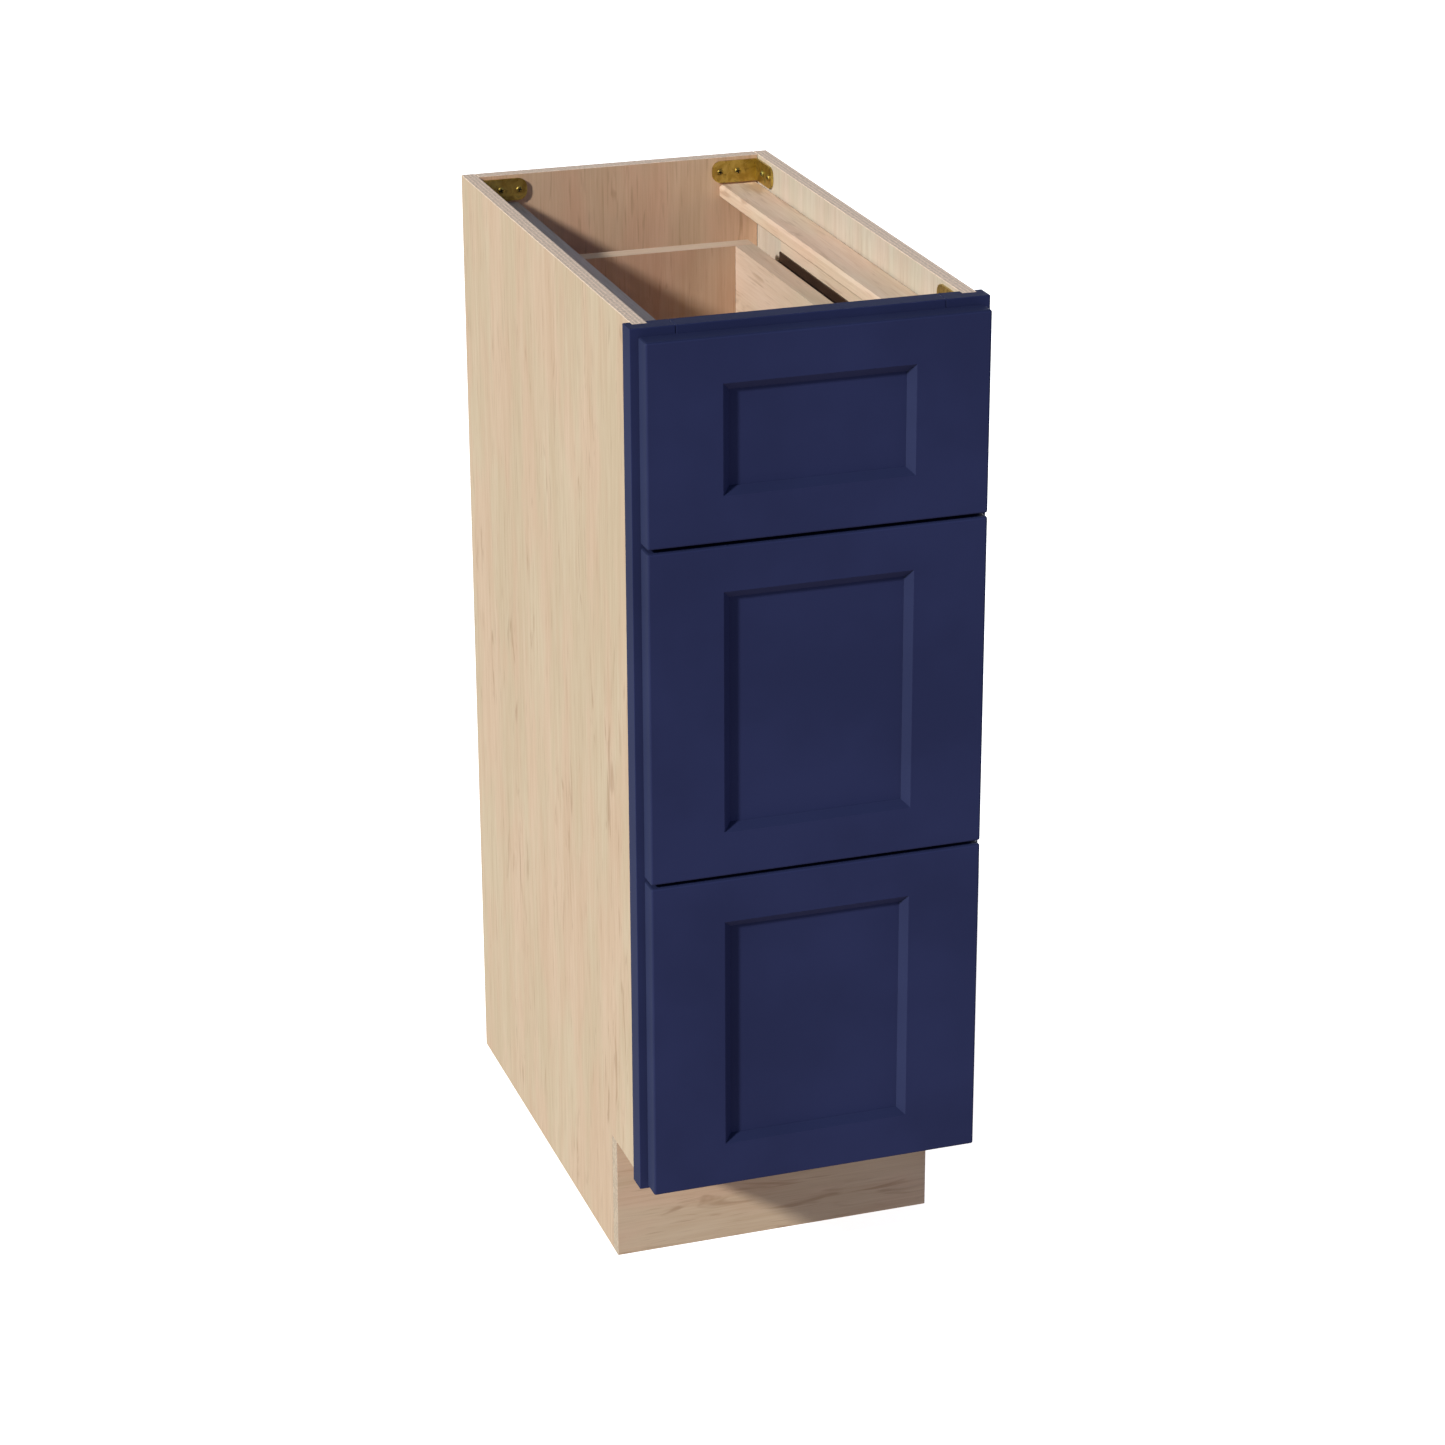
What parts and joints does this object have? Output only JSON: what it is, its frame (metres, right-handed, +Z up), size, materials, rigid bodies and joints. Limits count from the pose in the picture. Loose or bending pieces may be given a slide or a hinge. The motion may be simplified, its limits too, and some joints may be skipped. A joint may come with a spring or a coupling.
{
  "type": "bathroom vanity drawer base cabinet",
  "caption": "Narrow framed vanity base with an open top, navy recessed-panel drawer fronts on full-extension slides, a maple plywood case and a recessed toe kick.",
  "frame": {"origin": "on the floor, in the middle of the cabinet's width and of its depth over the closed drawer fronts", "axes": "+X to the right of a person facing the drawers, +Y from the drawer fronts to the wall, +Z up"},
  "size_m": [0.3048, 0.554, 0.8763],
  "materials": {
    "painted_navy": "smooth satin paint on wood",
    "maple_plywood": "clear-coated maple plywood, satin",
    "maple_solid": "clear-coated solid maple, satin",
    "yellow_zinc": "yellow zinc plated steel",
    "dark_slide_steel": "dark bronze coated steel"
  },
  "bodies": {
    "cabinet": {"side_panel_left": "maple_plywood", "side_panel_right": "maple_plywood", "back_panel": "maple_plywood", "deck_panel": "maple_plywood", "toe_kick_board": "maple_plywood", "stile_left": "painted_navy", "stile_right": "painted_navy", "rail_top": "painted_navy", "rail_upper_middle": "painted_navy", "rail_lower_middle": "painted_navy", "rail_bottom": "painted_navy", "ledge_left": "maple_solid", "ledge_right": "maple_solid", "corner_brace_front_left": "yellow_zinc", "corner_brace_front_right": "yellow_zinc", "corner_brace_rear_left": "yellow_zinc", "corner_brace_rear_right": "yellow_zinc", "slide_board_left": "maple_plywood", "slide_board_right": "maple_plywood", "slide_cabinet_1_left": "dark_slide_steel", "slide_cabinet_1_right": "dark_slide_steel", "slide_cabinet_2_left": "dark_slide_steel", "slide_cabinet_2_right": "dark_slide_steel", "slide_cabinet_3_left": "dark_slide_steel", "slide_cabinet_3_right": "dark_slide_steel"},
    "drawer_1": {"drawer_1_front_frame": "painted_navy", "drawer_1_front_panel": "painted_navy", "drawer_1_box_left": "maple_solid", "drawer_1_box_right": "maple_solid", "drawer_1_box_front": "maple_solid", "drawer_1_box_back": "maple_solid", "drawer_1_box_bottom": "maple_plywood", "slide_drawer_1_left": "dark_slide_steel", "slide_drawer_1_right": "dark_slide_steel"},
    "slide_middle_1": {"slide_middle_1_left": "dark_slide_steel", "slide_middle_1_right": "dark_slide_steel"},
    "drawer_2": {"drawer_2_front_frame": "painted_navy", "drawer_2_front_panel": "painted_navy", "drawer_2_box_left": "maple_solid", "drawer_2_box_right": "maple_solid", "drawer_2_box_front": "maple_solid", "drawer_2_box_back": "maple_solid", "drawer_2_box_bottom": "maple_plywood", "slide_drawer_2_left": "dark_slide_steel", "slide_drawer_2_right": "dark_slide_steel"},
    "slide_middle_2": {"slide_middle_2_left": "dark_slide_steel", "slide_middle_2_right": "dark_slide_steel"},
    "drawer_3": {"drawer_3_front_frame": "painted_navy", "drawer_3_front_panel": "painted_navy", "drawer_3_box_left": "maple_solid", "drawer_3_box_right": "maple_solid", "drawer_3_box_front": "maple_solid", "drawer_3_box_back": "maple_solid", "drawer_3_box_bottom": "maple_plywood", "slide_drawer_3_left": "dark_slide_steel", "slide_drawer_3_right": "dark_slide_steel"},
    "slide_middle_3": {"slide_middle_3_left": "dark_slide_steel", "slide_middle_3_right": "dark_slide_steel"}
  },
  "joints": [
    {"name": "drawer_1_slide", "type": "slide", "parent": "cabinet", "child": "drawer_1", "axis": [0, -1, 0], "range_m": [0, 0.4]},
    {"name": "slide_middle_1_slide", "type": "slide", "parent": "cabinet", "child": "slide_middle_1", "axis": [0, -1, 0], "range_m": [0, 0.2]},
    {"name": "drawer_2_slide", "type": "slide", "parent": "cabinet", "child": "drawer_2", "axis": [0, -1, 0], "range_m": [0, 0.4]},
    {"name": "slide_middle_2_slide", "type": "slide", "parent": "cabinet", "child": "slide_middle_2", "axis": [0, -1, 0], "range_m": [0, 0.2]},
    {"name": "drawer_3_slide", "type": "slide", "parent": "cabinet", "child": "drawer_3", "axis": [0, -1, 0], "range_m": [0, 0.4]},
    {"name": "slide_middle_3_slide", "type": "slide", "parent": "cabinet", "child": "slide_middle_3", "axis": [0, -1, 0], "range_m": [0, 0.2]}
  ],
  "couplings": [
    {"joint": "slide_middle_1_slide", "follows": "drawer_1_slide", "ratio": 0.5},
    {"joint": "slide_middle_2_slide", "follows": "drawer_2_slide", "ratio": 0.5},
    {"joint": "slide_middle_3_slide", "follows": "drawer_3_slide", "ratio": 0.5}
  ]
}
